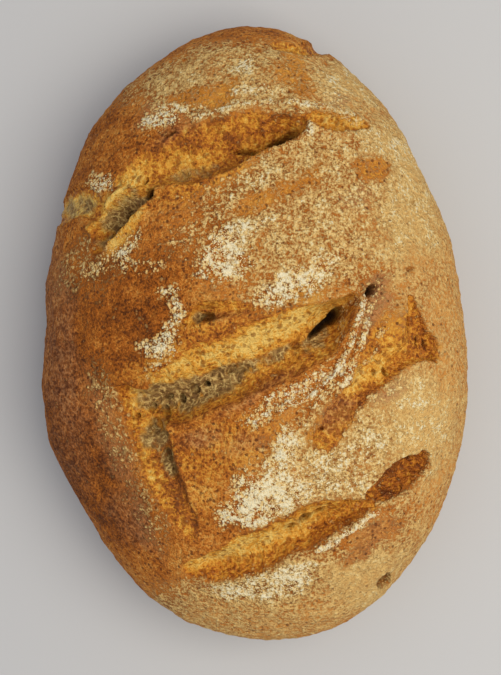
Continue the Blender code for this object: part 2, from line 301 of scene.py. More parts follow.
def tear_relief(plan):
    """Height change, torn share and depth that the slashes make at plan points."""
    count = len(plan)
    deepest, lip, sag, torn, stretch = (np.zeros(count) for _ in range(5))
    for number, stations in enumerate(TEARS.values()):
        line = smooth_line(stations)
        margin = NEAR_REACHES * line[:, 2:4].max()
        near = np.all(
            (plan > line[:, :2].min(0) - margin) & (plan < line[:, :2].max(0) + margin), axis=1
        )
        distance, side, here = beside_line(plan[near], line)
        reach = np.maximum(LEAST_REACH, np.where(side > 0, here[:, 2], here[:, 3]))
        depth = np.maximum(0, here[:, 4])
        across = distance / reach
        gentle = smoothstep((reach - GENTLE_FROM) / (GENTLE_TO - GENTLE_FROM))
        wall = np.clip(1 - across ** (STEEP_CURVE + gentle * (GENTLE_CURVE - STEEP_CURVE)), 0, 1)
        outside = np.maximum(0, distance - reach)
        edge = np.exp(-((outside / LIP_SPREAD) ** 2)) * np.minimum(1, depth / FULL_LIP_DEPTH)
        edge *= 1 - LIP_LOSS * gentle
        inside = smoothstep((TORN_EDGE - across) * TORN_EDGE_STEEPNESS)
        deepest[near] = np.maximum(deepest[near], depth * wall)
        lip[near] = np.maximum(lip[near], LIP_HEIGHT * edge * (across >= 1))
        sag[near] = np.maximum(
            sag[near], SAG_SHARE * depth * np.exp(-((across / SAG_REACH) ** 2))
        )
        torn[near] = np.maximum(torn[near], inside)
        in_tear = np.column_stack([
            here[:, -1] / STRETCH_ALONG, side * distance / STRETCH_ACROSS,
            np.full(len(here), 9.0 * number)
        ])
        streaks = waves(in_tear, ((1.0, STRETCH_DEEP), (0.45, 0.4 * STRETCH_DEEP)), seed=5)
        streaks *= np.minimum(1, depth / FULL_STRETCH_DEPTH)
        stretch[near] = np.where(inside > 0.02, streaks, stretch[near])
    return (lip - sag) * (1 - torn) - deepest - sag * torn + stretch * torn, torn, deepest


# Pores and cracks: bubbles of the dough that burst open, and splits in the crust.
# Each is x, y, half length, half width, angle in degrees, depth; the deeper ones get painted shade
# inside.
PORES = (
    (-44.0, 54.5, 3.1, 2.3, 70, 6.0),
    (-61.5, 40.0, 4.4, 1.4, 58, 3.0),
    (-56.0, 48.0, 2.6, 1.8, 60, 2.6),
    (-46.6, 60.6, 1.8, 0.9, 60, 2.5),
    (-32.0, 63.0, 3.6, 2.2, 20, 1.2),
    (-22.0, 63.5, 3.4, 2.0, 20, 1.2),
    (-36.0, 79.6, 2.6, 1.1, 30, 3.0),
    (-4.5, 74.0, 7.0, 1.1, 0, 3.5),
    (9.0, 77.6, 8.5, 2.3, 32, 6.0),
    (14.3, 80.6, 3.6, 2.5, 25, 4.5),
    (-21.7, -22.2, 1.3, 1.1, 0, 5.0),
    (-27.1, -24.3, 2.6, 1.9, 140, 3.2),
    (-32.4, -28.7, 2.2, 1.5, 100, 3.4),
    (-38.6, -28.2, 2.4, 1.3, 20, 2.4),
    (-38.6, -34.9, 3.8, 1.6, 130, 3.2),
    (-45.3, -32.5, 2.0, 1.2, 120, 2.4),
    (-50.1, -35.4, 1.3, 1.1, 0, 2.6),
    (-8.0, -15.6, 4.6, 1.9, 12, 2.2),
    (-12.0, -17.0, 1.8, 1.0, 30, 2.4),
    (15.6, -6.2, 2.3, 1.8, 10, 2.6),
    (29.0, 2.6, 9.5, 1.6, 36, 8.0),
    (33.4, 5.8, 4.6, 2.4, 52, 9.0),
    (44.5, 15.6, 3.6, 1.7, 40, 8.0),
    (65.8, -3.9, 2.2, 0.9, 75, 3.0),
    (69.6, -5.3, 1.6, 1.1, 60, 3.0),
    (70.8, -11.0, 2.0, 1.2, 40, 2.0),
    (52.0, -16.8, 2.0, 1.0, 115, 3.0),
    (47.2, -17.0, 1.7, 0.9, 110, 2.5),
    (61.3, 4.0, 6.0, 0.8, 88, 1.6),
    (61.5, 24.6, 1.7, 1.0, 10, 2.5),
    (24.8, -39.0, 1.3, 1.1, 0, 2.5),
    (22.3, -46.0, 1.7, 1.3, 20, 1.8),
    (13.4, -81.0, 2.2, 1.6, 10, 3.4),
    (20.0, -77.2, 3.4, 1.9, 28, 3.6),
    (25.5, -74.6, 2.4, 1.4, 30, 3.0),
    (64.8, -52.6, 2.0, 1.5, 30, 3.5),
    (-42.5, -39.5, 3.2, 3.2, 0, 2.5),
    (-37.0, -50.5, 3.4, 1.6, 110, 2.5),
    (-34.0, -57.5, 3.0, 1.5, 110, 2.0),
    (52.3, -104.0, 3.6, 2.6, 75, 8.0),
    (-20.5, 4.8, 3.2, 2.1, 12, 3.5),
    (64.0, 52.5, 1.2, 1.2, 0, 1.2),
    (-30.0, 110.5, 2.4, 0.9, 20, 1.5),
)
PORE_RIM = 1.15
PORE_SHADE_REACH = 1.4
DARK_PORE_DEPTH = 6.0


def ellipse_reach(plan, x, y, half_long, half_wide, degrees):
    """How far plan points are from an ellipse's middle, 1 being its edge."""
    turn = math.radians(degrees)
    offset = plan - (x, y)
    along = offset[:, 0] * math.cos(turn) + offset[:, 1] * math.sin(turn)
    aside = offset[:, 1] * math.cos(turn) - offset[:, 0] * math.sin(turn)
    return np.hypot(along / half_long, aside / half_wide)


def pore_relief(plan):
    """Depth of the pores and cracks, and the painted shade inside them at each point, 0 to 1."""
    depth, inside = np.zeros(len(plan)), np.zeros(len(plan))
    for x, y, half_long, half_wide, degrees, deep in PORES:
        across = ellipse_reach(plan, x, y, half_long, half_wide, degrees)
        depth = np.maximum(depth, deep * np.clip(PORE_RIM - across**3, 0, 1))
        # Painted shade: the deeper a pore, the darker its inside is painted.
        darkness = min(1, (deep / DARK_PORE_DEPTH) ** 1.5)
        inside = np.maximum(inside, smoothstep(PORE_SHADE_REACH - across) * darkness)
    return depth, inside


# Folds: dough drawn out beside the slashes, a strand that still bridges the middle one, and the
# rolls along the lips. Each is a height, a half width, how thick flour lies on its crest, and
# the line of the crest.
RIDGES = (
    (1.7, 1.2, 0.35, ((42, 15), (38, 11), (35.4, -0.4), (31.5, -7.8), (25, -13.4))),
    (2.2, 1.5, 0.75, ((41.5, 13), (40.2, 6), (38.2, -1.3), (34.5, -10.6), (29.6, -17.2), (21, -25),
                      (8, -32))),
    (1.7, 1.5, 0.55, ((46, 12), (43.8, 5), (41.6, -3.2), (37.5, -13), (31, -21), (20, -30))),
    (1.1, 1.4, 0.30, ((51, 3), (47.5, -5), (43, -13))),
    (1.5, 2.2, 0.00, ((-44, -40), (-33, -38), (-20, -33), (-10, -29), (0, -24.5), (10, -21),
                      (20, -18))),
    (1.0, 1.8, 0.00, ((-40, 6), (-30, 11), (-22, 13), (-12, 14))),
    (1.5, 1.4, 0.00, ((-68, 41), (-63, 48), (-57, 54.5), (-50, 60), (-42, 65), (-36, 69))),
    (1.0, 1.3, 0.00, ((-62, 31.5), (-57.5, 37), (-52, 41.5), (-46, 46.5))),
    (1.4, 1.3, 1.00, ((22.6, -87), (30.6, -82.4), (38.6, -78), (47, -73.8))),
    (0.8, 1.5, 0.62, ((-26, 86), (-15, 88.6), (-5, 90.2), (10, 91.6), (20, 90.8), (32, 88.6),
                      (42, 85.4))),
)
CREST_REACH = 1.4


def ridge_relief(plan):
    """Height of the drawn-out folds at plan points, and the flour on their crests."""
    height, floured = np.zeros(len(plan)), np.zeros(len(plan))
    for tall, half_wide, flour_share, stations in RIDGES:
        distance, _, _ = beside_line(plan, smooth_line(stations))
        height = np.maximum(height, tall * np.exp(-((distance / half_wide) ** 2)))
        floured = np.maximum(floured, flour_share * smoothstep(CREST_REACH - distance / half_wide))
    return height, floured


# Foot: the left flank slumped a little over a foot of dough that set first on the stone.
FOOT_LEFT_OF = 50.0
FOOT_BLEND = 15.0
FOOT_FROM = -50.0
FOOT_TO = 20.0
FOOT_END = 16.0
FOOT_CREASE_AT = 33.0
FOOT_CREASE_DEEP = 4.2
FOOT_CREASE_TALL = 7.0
OVERHANG_SHARE = 0.75
OVERHANG_TOP = 62.0
OVERHANG_FADE = 20.0
FOOT_OUT = 1.5
FOOT_OUT_TO = 13.0
FOOT_OUT_END = 3.0


def foot_relief(points):
    """The foot stands out by its step, with a crease above it."""
    x, y, z = points.T
    on_left = np.clip((-x - FOOT_LEFT_OF) / FOOT_BLEND, 0, 1)
    start = np.clip((y - FOOT_FROM) / FOOT_END, 0, 1)
    rise = np.exp(-(((z - FOOT_CREASE_AT) / FOOT_CREASE_TALL) ** 2))
    overhang = OVERHANG_SHARE * np.clip((z - FOOT_CREASE_AT) / FOOT_CREASE_TALL, 0, 1)
    overhang *= np.clip((OVERHANG_TOP - z) / OVERHANG_FADE, 0, 1)
    crease = FOOT_CREASE_DEEP * np.clip((FOOT_TO - y) / FOOT_END, 0, 1) * np.maximum(rise, overhang)
    below = np.clip((FOOT_CREASE_AT - z) / FOOT_CREASE_TALL, 0, 1)
    out = FOOT_OUT * np.clip((FOOT_OUT_TO - y) / FOOT_OUT_END, 0, 1) * below
    return on_left * start * (out - crease)


# Crumb: the airy inside that shows where the slashes tore deepest. Its bubbles are 2 to 5 mm
# across, with thin walls drawn out along the tear. Patches are x, y, half length, half width,
# angle in degrees, and how much of the crumb shows.
CRUMB = (
    (-42, -28, 9, 6.0, 10, 1.0),
    (-29, -26, 11, 6.5, 18, 1.0),
    (-17, -21, 10, 5.5, 24, 1.0),
    (-6, -15.5, 9, 3.0, 14, 0.9),
    (6, -11, 9, 2.6, 30, 0.6),
    (25, -3, 9, 3.6, 38, 0.5),
    (-43, -42, 5, 5, 0, 0.8),
    (-37, -52, 8, 2.8, 112, 0.7),
    (-58.5, 43, 10, 5.2, 52, 1.0),
    (-50, 51, 6, 4.4, 42, 0.8),
    (-31, 63, 7, 3.6, 20, 0.30),
    (-21, 65, 7, 3.4, 20, 0.22),
    (-75, 52, 7.5, 4.5, 10, 0.6),
    (-20.5, 4.8, 4.6, 2.8, 12, 0.9),
    (21, -78, 8, 2.4, 28, 0.25),
)
BUBBLE_SIZES = ((4.6, 0.65), (2.3, 0.4))
BUBBLE_STRETCH = 1.8
TEAR_HEADING = 26.0
CRUMB_EDGE_WAVES = ((9.0, 0.8), (4.5, 1.0), (2.0, 0.7))
CRUMB_WAVES = ((6.0, 0.8), (3.2, 0.5), (1.6, 0.3))
BUBBLE_WARP = ((5.0, 1.2),)
BUBBLE_GROUPS = ((6.5, 1.0),)


def soft_patches(plan, patches, softness):
    """Share from 0 to 1 that soft ellipses cover, where one patch adds to another."""
    clear = np.ones(len(plan))
    for x, y, half_long, half_wide, degrees, strength in patches:
        across = ellipse_reach(plan, x, y, half_long, half_wide, degrees)
        clear *= 1 - strength * smoothstep((1 - across) / softness + 0.5)
    return 1 - clear


def bubble_relief(points, share):
    """Depth of open crumb bubbles and nearness to their walls, where there is crumb."""
    depth, web = np.zeros(len(points)), np.zeros(len(points))
    chosen = np.flatnonzero(share > 0.02)
    turn = math.radians(TEAR_HEADING)
    x, y, z = points[chosen].T
    drawn = np.stack([
        (x * math.cos(turn) + y * math.sin(turn)) / BUBBLE_STRETCH,
        y * math.cos(turn) - x * math.sin(turn),
        z,
    ], axis=1)
    drawn += waves(drawn, BUBBLE_WARP, seed=7)[:, None]
    open_here = smoothstep(0.55 + 1.6 * waves(drawn, BUBBLE_GROUPS, seed=8))
    for size, deep in BUBBLE_SIZES:
        walls = np.array([noise.voronoi(Vector(p) / size)[0][:2] for p in drawn])
        hollow = smoothstep((walls[:, 1] - walls[:, 0]) * 2.0)
        depth[chosen] += deep * open_here * hollow
        web[chosen] = np.maximum(web[chosen] * hollow, 1 - hollow)
    return depth * share, web


# Flour: rice and wheat flour from the proving basket, thick where the dough was dry, in
# patches that cracked as the crust stretched, and a thin film over the right side. Patches are
# given like those of the crumb, and the bare ones take flour away.
FLOUR_FIELDS = (  # x, y, half length, half width, angle, fine film, loose dust
    (32, 48, 52, 34, 20, 0.53, 0.36),
    (80, 10, 32, 100, 0, 0.56, 0.12),
    (40, -50, 46, 26, 25, 0.62, 0.42),
    (10, -112, 56, 22, 12, 0.58, 0.22),
    (0, 102, 52, 16, 0, 0.58, 0.32),
    (52, 92, 28, 24, -40, 0.55, 0.24),
    (-14, 46, 26, 16, 30, 0.08, 0.26),
    (52, -96, 26, 18, 40, 0.50, 0.12),
    (-52, -52, 9, 38, 20, 0.12, 0.16),
    (-66, 26, 22, 12, 30, 0.10, 0.16),
)
FLOUR_PATCHES = (
    (39, -22, 6, 3, 35, 0.45),
    (-39, 86, 12, 5, 12, 0.62),
    (-12, 93, 26, 2.6, 10, 0.40),
    (-5, 107, 7, 5, 60, 0.40),
    (-58, 28, 7, 3.5, 20, 0.50),
    (-50, 34, 9, 4, 45, 0.42),
    (-51, 25, 4, 3, 20, 0.60),
    (-68, 24, 4, 3, 10, 0.42),
    (-42, 25, 5, 3, 0, 0.30),
    (-64, 59, 7, 4.5, 60, 0.66),
    (-34, 13, 6, 3, 15, 0.62),
    (-30, 5, 4, 5, 10, 0.62),
    (-34, -3, 5, 6, 0, 0.70),
    (-43, -7, 6, 4, 20, 0.68),
    (-38, -13, 8, 4, 30, 0.45),
    (-13, 29, 9, 8, 20, 0.75),
    (-9, 37, 10, 3.5, 15, 0.55),
    (-20, 22, 7, 5, 0, 0.55),
    (10, 17, 16, 4.5, 10, 0.60),
    (22, 24, 10, 5, 20, 0.45),
    (-8, -1, 8, 3, 20, 0.30),
    (5, -31, 14, 4.5, 35, 0.55),
    (20, -22, 10, 3.5, 32, 0.62),
    (35, -20, 6, 7, -30, 0.62),
    (10, -45, 5, 7, 0, 0.72),
    (2, -60, 15, 7, 20, 0.60),
    (4, -68, 17, 8, 20, 0.70),
    (-8, -72, 9, 6, 10, 0.50),
    (34, -52, 18, 7, 25, 0.34),
    (4, -103, 18, 6, 8, 0.64),
    (-14, -106, 8, 4, 0, 0.55),
    (18, -98, 9, 4, 30, 0.55),
    (-74, 51, 7, 3, 10, 0.60),
    (21, 82, 3, 5, 0, 0.50),
    (40, -60, 4, 3, 0, 0.40),
)
BARE_PATCHES = (
    (-24, 95, 14, 4, 10, 0.75),
    (16, 102, 5, 11, 20, 0.60),
    (45, 63, 9, 5, 10, 0.85),
    (40, 76, 4, 3, 0, 0.60),
    (5, 52, 20, 5, 32, 0.75),
    (-28, 48, 20, 6, 35, 0.35),
    (-20, 60, 16, 4, 25, 0.85),
    (-15, -77, 5, 3.5, 10, 0.80),
    (-8, -79, 3, 2.5, 0, 0.70),
    (1, -57, 4, 2.5, 20, 0.55),
    (-18, -48, 20, 11, 5, 0.90),
    (45, -84, 13, 5, 30, 0.90),
    (31, -34, 13, 5, 42, 0.80),
    (50, -7, 6, 13, -20, 0.80),
    (-60, 8, 20, 16, 0, 0.75),
    (50, 22, 8, 4, 30, 0.5),
    (60, -64, 12, 3, 35, 0.3),
)

# Bake and shade: how dark the crust is, from pale tan where flour shields it to dark brown. The left
# flank is darkest, partly from the bake and partly painted shade low on that side, and the right flank
# baked least.
BAKE_START = 0.50
DARKER_AND_SHADED = (
    (-36, 6, 16, 18, 0, 0.10),
    (2, -104, 24, 10, 8, 0.25),
    (-60, 6, 30, 34, 0, 0.38),
    (-84, -20, 16, 60, 10, 0.08),
    (-78, -40, 13, 24, 15, 0.40),
    (-64, -66, 16, 30, 35, 0.50),
    (-62, 74, 18, 22, 40, 0.18),
    (-12, 44, 20, 10, 30, 0.10),
)
PALER = (
    (84, 0, 22, 110, 0, 0.30),
    (20, -122, 60, 18, 8, 0.25),
    (44, 96, 36, 22, -40, 0.20),
)

# Torn skin: dough that opened late and baked without flour, from red-brown through orange to
# yellow where it is thinnest. Beside the tears are places of bare skin and of dull mauve brown.
GOLD_START = 0.40
GOLDEN = (
    (39, -22, 7, 4, 38, 0.55),
    (34, 87, 12, 4, -14, 0.50),
    (-75, 52, 9, 5, 10, 0.90),
    (-58, 51, 15, 2.6, 48, 0.85),
    (-54, 38, 12, 2.0, 46, 0.62),
    (-54, 60, 14, 2.5, 45, 0.60),
    (-34, 66, 14, 3, 30, 0.15),
    (-20, -10, 26, 4.5, 22, 0.60),
    (6, 0, 24, 5, 30, 0.85),
    (-47, -27, 8, 6, 40, 0.55),
    (28, 8, 10, 4, 32, 0.45),
    (55, -2, 6, 6, 0, 0.25),
    (46, -14, 8, 5, 20, 0.50),
    (-46, -50, 3.5, 14, 25, 0.15),
    (-4, -88, 26, 5, 18, 0.75),
    (16, -78, 16, 4, 26, 0.30),
    (-14, -93, 12, 4, 5, 0.35),
)
BARE_SKIN = (
    (-58, 51, 16, 3.4, 48, 0.95),
    (-54, 38, 13, 2.6, 46, 0.85),
    (60, 3, 6, 9, 0, 0.85),
    (57, -6, 13, 6, 0, 0.90),
    (46, 14, 7, 4, 30, 0.50),
    (48, -5, 5, 11, -20, 0.65),
    (-16, -46, 24, 12, 8, 0.55),
    (-20, 60, 24, 6, 28, 0.75),
    (-18, 4, 12, 5.5, 15, 0.75),
    (-22, -6, 30, 4.5, 22, 0.70),
    (10, 9, 20, 4, 28, 0.65),
    (32, -34, 16, 6, 42, 0.65),
    (45, -84, 12, 4, 30, 0.55),
    (-22, 94, 14, 4, 8, 0.55),
    (16, 103, 5, 10, 20, 0.45),
    (45, 63, 8, 4.5, 10, 0.60),
    (8, 54, 18, 4, 32, 0.40),
    (-30, -60, 10, 16, 25, 0.40),
)
# Dull mauve brown: partly the crust's own tone, partly painted shade, on the shaded left flank and in
# strips beside the tears.
MAUVE_AND_SHADE = (
    (44, -84, 11, 5, 30, 0.45),
    (47, 8, 4.5, 9, -20, 0.60),
    (47, 17, 8, 3, 35, 0.50),
    (32, -33, 9, 4, 30, 0.45),
    (53, -24, 7, 4, 20, 0.50),
    (-24, -43, 8, 4, 10, 0.50),
    (-6, -46, 9, 4, 25, 0.35),
    (-60, -46, 6, 26, 18, 0.32),
    (-83, -4, 9, 54, 8, 0.42),
    (33, 94, 6, 4, 0, 0.50),
    (38, 52, 8, 5, 30, 0.30),
    (-50, -80, 14, 6, -50, 0.35),
    (-2, -26, 18, 2.2, 32, 0.35),
    (-44, 88, 8, 4, 30, 0.35),
    (-32, 82, 12, 3, 25, 0.30),
    (-14, 8, 7, 2.5, 10, 0.30),
)
# Red-brown patches: partly the skin's own ruddy tone, partly painted shade on the steep walls of the
# slashes and in the pocket at the lower slash's far end.
RUDDY_AND_SHADE = (
    (-35, -58, 5, 20, 25, 0.60),
    (-12, 80, 26, 5, 12, 0.30),
    (58, -60, 15, 6, 31, 0.75),
    (5, -24, 17, 2.6, 32, 0.32),
    (-18, 67, 16, 5, 20, 0.35),
    (65, -2, 6, 10, -20, 0.25),
    (-33, 83, 14, 3, 30, 0.50),
    (34, -80, 11, 1.8, 30, 0.35),
    (16, -17, 14, 2.4, 25, 0.15),
    (43, -25, 7, 3, 40, 0.40),
)

# Finished surface: the baked skin with its slashes, pores, folds, foot and crumb, on a fine mesh
# that carries a share for each of the looks above at every point.
SKIN_WAVES = ((9.0, 0.5), (4.2, 0.42), (2.2, 0.34))
TRIANGLES = 196000
REFINE_FROM_TORN = 0.3
CROWN_FROM = 0.6 * WIDEST_AT
CROWN_BLEND = 0.5 * WIDEST_AT
FLANK_FROM = 10.0
DEEP_TEAR = 8.0
SKIN_RAGGEDNESS = 1.5
FLOUR_LINE = 40.0
FLOUR_AT_FOOT = 0.35
FLOUR_LOST_IN_TEARS = 0.85
UNDERSIDE_UP_TO = 9.0


def refine_where_torn(sphere):
    """Halves the edges of the sphere where the loaf's surface is torn, for a finer relief."""
    directions = np.array([v.co for v in sphere.verts])
    body = dough_body(directions)
    _, torn, _ = tear_relief(body[:, :2])
    wanted = (torn > REFINE_FROM_TORN) & (body[:, 2] > WIDEST_AT)
    edges = [e for e in sphere.edges if wanted[e.verts[0].index] and wanted[e.verts[1].index]]
    bmesh.ops.subdivide_edges(sphere, edges=edges, cuts=1, use_grid_fill=True)
    bmesh.ops.triangulate(sphere, faces=[f for f in sphere.faces if len(f.verts) > 3])


def shape_loaf(directions, triangles):
    """The finished surface in millimetres, and the shares that its colours follow."""
    body = dough_body(directions)
    normals = surface_normals(body, triangles)
    ragged = np.stack(
        [waves(body, RAGGED_WAVES, seed=3), waves(body, RAGGED_WAVES, seed=4)], axis=1
    )
    plan = body[:, :2] + ragged
    crown = np.clip((body[:, 2] - CROWN_FROM) / CROWN_BLEND, 0, 1)
    flank = np.clip(body[:, 2] / FLANK_FROM, 0, 1)
    relief, torn, depth = tear_relief(plan)
    pores, painted_pore_shade = pore_relief(body[:, :2])
    ridges, crests = ridge_relief(plan)
    ridges *= 1 - 0.5 * torn
    crumb = soft_patches(plan, CRUMB, 0.9) * (1 + waves(body, CRUMB_EDGE_WAVES, seed=9))
    crumb = smoothstep(1.9 * crumb - 0.25) * smoothstep(torn * 1.4)
    bubbles, web = bubble_relief(body, crumb)
    rough = waves(body, CRUMB_WAVES, seed=2) * torn
    bottom = np.clip(depth / DEEP_TEAR, 0, 1)
    shift = crown * (relief + ridges + rough - pores - bubbles)
    shift += flank * (waves(body, DOUGH_WAVES, seed=1) + waves(body, SKIN_WAVES, seed=6) * (1 - torn))
    shift += foot_relief(body)
    shaped = body + shift[:, None] * normals
    shaped[:, 2] = np.maximum(0, shaped[:, 2])

    spread = plan + SKIN_RAGGEDNESS * ragged
    above = smoothstep(body[:, 2] / FLOUR_LINE)
    bare = soft_patches(spread, BARE_PATCHES, 0.6)
    fine_film = [field[:6] for field in FLOUR_FIELDS]
    loose_dust = [field[:5] + field[6:] for field in FLOUR_FIELDS]
    film = soft_patches(spread, fine_film, 0.6) * (1 - 0.8 * bare)
    flour = 1 - (1 - soft_patches(spread, loose_dust, 0.5)) * (
        1 - soft_patches(spread, FLOUR_PATCHES, 0.7)
    )
    flour *= 1 - bare
    flour *= (1 - FLOUR_LOST_IN_TEARS * torn) * (FLOUR_AT_FOOT + (1 - FLOUR_AT_FOOT) * above)
    # Crust darkness, with painted shade on the left flank.
    bake_and_shade = BAKE_START + (1 - BAKE_START) * soft_patches(spread, DARKER_AND_SHADED, 0.9)
    bake_and_shade *= 1 - soft_patches(spread, PALER, 0.9)
    gold = GOLD_START + (1 - GOLD_START) * soft_patches(plan, GOLDEN, 0.8)
    gold = (gold + 0.25 * bottom * (1 - gold)) * (1 - soft_patches(plan, RUDDY_AND_SHADE, 0.8))
    # Painted shade: the skin is made darker red-brown along the edge of each tear.
    gold *= 1 - 0.5 * np.clip(4 * torn * (1 - torn), 0, 1)
    skin = np.maximum(torn, soft_patches(spread, BARE_SKIN, 0.9))
    shares = {
        "film": film * (1 - torn) * (1 - painted_pore_shade),
        "flour": np.maximum(flour, crests) * (1 - painted_pore_shade),
        "bake_and_shade": bake_and_shade,
        "torn": torn * crown,
        "skin": skin * crown,
        "mauve": soft_patches(spread, MAUVE_AND_SHADE, 1.0),
        "gold": gold,
        "crumb": crumb * crown,
        "web": web,
        "painted_pore_shade": painted_pore_shade * crown,
        "underside": 1 - smoothstep(body[:, 2] / UNDERSIDE_UP_TO),
    }
    return shaped, shares


sphere = bmesh.new()
bmesh.ops.create_icosphere(sphere, subdivisions=SPHERE_STEPS, radius=1.0)
sphere.verts.ensure_lookup_table()
refine_where_torn(sphere)
loaf_mesh = bpy.data.meshes.new("baked_loaf")
sphere.to_mesh(loaf_mesh)
sphere.free()
directions = np.empty(len(loaf_mesh.vertices) * 3)
loaf_mesh.vertices.foreach_get("co", directions)
directions = directions.reshape(-1, 3)
directions /= np.linalg.norm(directions, axis=1)[:, None]
corners = np.empty(len(loaf_mesh.polygons) * 3, np.int32)
loaf_mesh.polygons.foreach_get("vertices", corners)
shaped, shares = shape_loaf(directions, corners.reshape(-1, 3))
middle = (shaped[:, :2].min(0) + shaped[:, :2].max(0)) / 2
shaped[:, :2] -= middle
loaf_mesh.vertices.foreach_set("co", (shaped * MM).ravel())
for name, share in shares.items():
    layer = loaf_mesh.attributes.new(name, "FLOAT", "POINT")
    layer.data.foreach_set("value", share.astype(np.float32))
loaf_mesh.update()
loaf = bpy.data.objects.new("baked_loaf", loaf_mesh)
bpy.context.scene.collection.objects.link(loaf)
if len(loaf_mesh.polygons) > TRIANGLES:
    thin = loaf.modifiers.new("even triangles", "DECIMATE")
    thin.ratio = TRIANGLES / len(loaf_mesh.polygons)
    seen = loaf.evaluated_get(bpy.context.evaluated_depsgraph_get())
    loaf.data = bpy.data.meshes.new_from_object(seen)
    loaf.modifiers.clear()
loaf.data.shade_smooth()


# Baked wheat crust: dough sugars browned by dry heat, matt where floured, with a dull shine on
# the torn skin. Grit, bran and thin flour are about a millimetre or less, so they are noise, and
# the tone follows the shares that the mesh carries.
def linear(hex_code):
    """sRGB hex to linear RGBA."""
    parts = [int(hex_code[i:i + 2], 16) / 255 for i in (1, 3, 5)]
    return [p / 12.92 if p <= 0.04045 else ((p + 0.055) / 1.055) ** 2.4 for p in parts] + [1.0]


def add(tree, kind, links=None, **settings):
    """One node with its settings, and its inputs linked or set by socket name or number."""
    made = tree.nodes.new(kind)
    for key, value in settings.items():
        setattr(made, key, value)
    for socket, source in (links or {}).items():
        if isinstance(source, bpy.types.NodeSocket):
            tree.links.new(source, made.inputs[socket])
        else:
            made.inputs[socket].default_value = source
    return made


def maths(tree, operation, *terms, **settings):
    """Result of one arithmetic step on values and sockets."""
    inputs = dict(enumerate(terms))
    return add(tree, "ShaderNodeMath", inputs, operation=operation, **settings).outputs[0]


def in_range(tree, value, lowest, highest, **settings):
    """Where a value stands between two others, from 0 to 1."""
    return add(tree, "ShaderNodeMapRange", {"Value": value, "From Min": lowest, "From Max": highest},
               **settings).outputs[0]


CRUST_TONES = (
    (0.00, "#E0B878"),
    (0.22, "#D69C4C"),
    (0.45, "#C47A2C"),
    (0.65, "#A45A16"),
    (0.85, "#7C420E"),
    (1.00, "#542806"),
)
SKIN_TONES = (
    (0.00, "#6E3A14"),
    (0.28, "#AB611C"),
    (0.52, "#D28C2C"),
    (0.76, "#E2A842"),
    (1.00, "#EBC468"),
)
CRUMB_TONES = ((0.00, "#7A5930"), (0.30, "#987440"), (0.60, "#B08B4E"), (1.00, "#D2B268"))
FLOUR_TONES = ((0.10, "#DCAE66"), (0.50, "#E6C27C"), (0.80, "#E8D298"), (1.00, "#EEE2BC"))
MAUVE_TONES = ((0.20, "#6E3F24"), (0.50, "#9A643E"), (0.80, "#BC8C60"))
FIBRE_TONE = "#D4B470"
BRAN_TONE = "#5A2C10"
PINHOLE_TONE = "#8E5216"
# Painted shade laid inside the pores and cracks:
PAINTED_PORE_SHADE_TONE = "#2E1C0C"
FILM_TONE = "#DFB56C"
UNDERSIDE_TONE = "#8A5A2C"
GRIT = 0.7
GRAIN = 1.3
CLUMP = 2.6
MOTTLE = 5.0
BLOTCH = 12.0
BRAN = 1.3
PINHOLE = 2.0
FIBRE = 2.9
WANDER = 5.0
DUST = (0.85, 1.5)


def set_tones(ramp_node, tones):
    """Colour stops of a ramp."""
    stops = ramp_node.color_ramp.elements
    while len(stops) < len(tones):
        stops.new(0.5)
    for stop, (place, hex_code) in zip(stops, tones):
        stop.position = place
        stop.color = linear(hex_code)


crust = bpy.data.materials.new("baked_wheat_crust")
crust.use_nodes = True
tree = crust.node_tree
shader = tree.nodes["Principled BSDF"]
place = add(tree, "ShaderNodeTexCoord").outputs["Object"]
share_of = {
    name: add(tree, "ShaderNodeAttribute", attribute_name=name).outputs["Fac"] for name in shares
}
field = {
    size: add(tree, "ShaderNodeTexNoise",
              {"Vector": place, "Scale": 1 / (size * MM), "Detail": 2.0, "Roughness": 0.6}).outputs[0]
    for size in (GRIT, GRAIN, CLUMP, MOTTLE, BLOTCH)
}


def sums(tree, first, *terms):
    """first plus each (field, gain) centred on the field's middle of one half."""
    total = first
    for source, gain in terms:
        scaled = maths(tree, "MULTIPLY_ADD", source, gain, -0.5 * gain)
        total = maths(tree, "ADD", total, scaled)
    return total


def ramped(tree, value, tones):
    """Colour of a value on a ramp of tones."""
    ramp_node = add(tree, "ShaderNodeValToRGB", {"Fac": value})
    set_tones(ramp_node, tones)
    return ramp_node.outputs[0]


def grains(tree, size, share):
    """Separate grains, one to a cell, there where the cell's own number is under the share."""
    cells = add(tree, "ShaderNodeTexVoronoi", {"Vector": place, "Scale": 1 / (size * MM)})
    luck = add(tree, "ShaderNodeSeparateColor", {0: cells.outputs["Color"]}).outputs[0]
    margin = maths(tree, "SUBTRACT", share, luck)
    there = in_range(tree, margin, 0, 0.15)
    body = in_range(tree, cells.outputs["Distance"], 0.70, 0.40)
    return maths(tree, "MULTIPLY", there, body)


def layer_over(tree, under, over, share):
    """Colour under with colour over laid on it by a share."""
    made = add(tree, "ShaderNodeMix", data_type="RGBA")
    for socket, source in ((0, share), (6, under), (7, over)):
        if isinstance(source, bpy.types.NodeSocket):
            tree.links.new(source, made.inputs[socket])
        else:
            made.inputs[socket].default_value = source
    return made.outputs[2]


